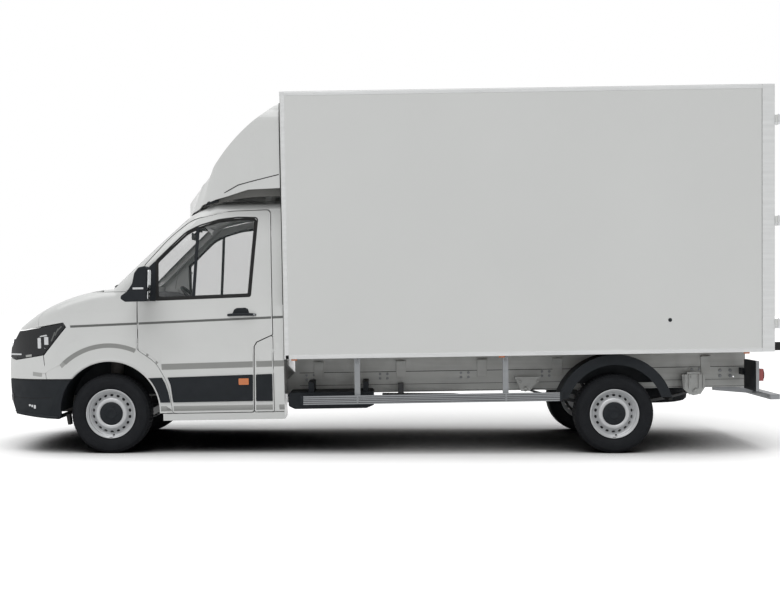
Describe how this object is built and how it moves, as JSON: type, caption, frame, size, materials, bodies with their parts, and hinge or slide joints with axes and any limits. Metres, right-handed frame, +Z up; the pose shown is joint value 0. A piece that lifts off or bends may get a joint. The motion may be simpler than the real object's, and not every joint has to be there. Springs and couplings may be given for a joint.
{
  "type": "box truck",
  "caption": "Light box truck: a van cab with bonnet on a ladder frame, tall square load box with roof fairing and rear doors.",
  "frame": {"origin": "on the road, under the middle of the overall box", "axes": "+X towards the back of the truck, +Y to the truck's right, +Z up; the driver sits at -Y"},
  "size_m": [6.9609, 2.68, 3.25],
  "materials": {
    "white_paint": "gloss",
    "dark_plastic": "grained",
    "box_panel": "satin laminate",
    "box_frame": "satin",
    "glass": "gloss",
    "lamp": "clear cover over a dark housing",
    "red_lamp": "gloss",
    "tyre": "matt",
    "wheel_steel": "satin silver",
    "frame_steel": "satin",
    "frame_grey": "satin",
    "cast": "rough",
    "cabin_plastic": "grained",
    "seat_fabric": "woven",
    "ply_floor": "coated ply",
    "rubber": "matt",
    "alu": "mill"
  },
  "bodies": {
    "chassis": {"cab_body": "white_paint", "windscreen": "glass", "wings": "white_paint", "headlamps": "lamp", "grille": "dark_plastic", "bumper_upper": "white_paint", "bumper": "dark_plastic", "dashboard": "cabin_plastic", "steering_column": "cabin_plastic", "driver_seat": "seat_fabric", "bench_seat": "seat_fabric", "nose_carrier": "frame_steel", "front_liners": "dark_plastic", "engine": "cast", "front_subframe": "frame_steel", "chassis_frame": "frame_grey", "subframe": "frame_grey", "leaf_springs": "frame_steel", "rear_axle": "cast", "spare_wheel": "tyre", "box_floor": "ply_floor", "box_sides": "box_panel", "box_front_wall": "box_panel", "box_roof": "box_panel", "rear_portal": "box_frame", "roof_fairing": "white_paint", "side_guards": "alu", "fuel_tank": "dark_plastic", "exhaust": "frame_steel", "rear_mudguards": "dark_plastic", "rear_underrun": "alu", "lamp_carriers": "dark_plastic", "tail_lamps": "red_lamp", "rear_buffers": "rubber"},
    "bonnet": {"bonnet": "white_paint"},
    "door_left": {"door_left": "white_paint", "door_glass_left": "glass", "mirror_left": "dark_plastic"},
    "door_right": {"door_right": "white_paint", "door_glass_right": "glass", "mirror_right": "dark_plastic"},
    "fuel_flap": {"fuel_flap": "white_paint"},
    "rear_door_left": {"rear_door_left": "box_panel"},
    "rear_door_right": {"rear_door_right": "box_panel"},
    "knuckle_left": {"knuckle_left": "cast"},
    "knuckle_right": {"knuckle_right": "cast"},
    "wheel_front_left": {"tyre_front_left": "tyre", "rim_front_left": "wheel_steel"},
    "wheel_front_right": {"tyre_front_right": "tyre", "rim_front_right": "wheel_steel"},
    "wheel_rear_left": {"tyre_rear_left": "tyre", "rim_rear_left": "wheel_steel"},
    "wheel_rear_right": {"tyre_rear_right": "tyre", "rim_rear_right": "wheel_steel"},
    "steering_wheel": {"steering_wheel": "cabin_plastic"}
  },
  "joints": [
    {"name": "steer_left", "type": "hinge", "parent": "chassis", "child": "knuckle_left", "pos_m": [-2.477, -0.79, 0.215], "axis": [0, 0.2206, 0.9754], "range_deg": [-35, 35]},
    {"name": "steer_right", "type": "hinge", "parent": "chassis", "child": "knuckle_right", "pos_m": [-2.477, 0.79, 0.215], "axis": [0, -0.2206, 0.9754], "range_deg": [-35, 35]},
    {"name": "steering_wheel_turn", "type": "hinge", "parent": "chassis", "child": "steering_wheel", "pos_m": [-1.79288, -0.4, 1.34082], "axis": [0.7349, 0, 0.6782], "range_deg": [-530, 530]},
    {"name": "wheel_front_left_spin", "type": "hinge", "parent": "knuckle_left", "child": "wheel_front_left", "pos_m": [-2.477, -0.885, 0.353], "axis": [0, 1, 0], "continuous": true},
    {"name": "wheel_front_right_spin", "type": "hinge", "parent": "knuckle_right", "child": "wheel_front_right", "pos_m": [-2.477, 0.885, 0.353], "axis": [0, 1, 0], "continuous": true},
    {"name": "wheel_rear_left_spin", "type": "hinge", "parent": "chassis", "child": "wheel_rear_left", "pos_m": [2.013, -0.885, 0.353], "axis": [0, 1, 0], "continuous": true},
    {"name": "wheel_rear_right_spin", "type": "hinge", "parent": "chassis", "child": "wheel_rear_right", "pos_m": [2.013, 0.885, 0.353], "axis": [0, 1, 0], "continuous": true},
    {"name": "cab_door_left_hinge", "type": "hinge", "parent": "chassis", "child": "door_left", "pos_m": [-2.222, -1.0225, 1.00409], "axis": [0.0157, 0, -0.9999], "range_deg": [0, 60]},
    {"name": "cab_door_right_hinge", "type": "hinge", "parent": "chassis", "child": "door_right", "pos_m": [-2.222, 1.0225, 1.00409], "axis": [-0.0157, 0, 0.9999], "range_deg": [0, 60]},
    {"name": "bonnet_hinge", "type": "hinge", "parent": "chassis", "child": "bonnet", "pos_m": [-2.56783, 0, 1.42371], "axis": [0, 1, 0], "range_deg": [0, 55]},
    {"name": "fuel_flap_hinge", "type": "hinge", "parent": "chassis", "child": "fuel_flap", "pos_m": [-1.0234, -1.0216, 0.82289], "axis": [-0.0157, 0, 0.9999], "range_deg": [0, 85]},
    {"name": "rear_door_left_hinge", "type": "hinge", "parent": "chassis", "child": "rear_door_left", "pos_m": [3.4044, -1.113, 2.0926], "axis": [0.0157, 0, -0.9999], "range_deg": [0, 270]},
    {"name": "rear_door_right_hinge", "type": "hinge", "parent": "chassis", "child": "rear_door_right", "pos_m": [3.4044, 1.113, 2.0926], "axis": [-0.0157, 0, 0.9999], "range_deg": [0, 270]}
  ],
  "couplings": [
    {"joint": "steer_right", "follows": "steer_left", "ratio": 1},
    {"joint": "steering_wheel_turn", "follows": "steer_left", "ratio": 15}
  ]
}
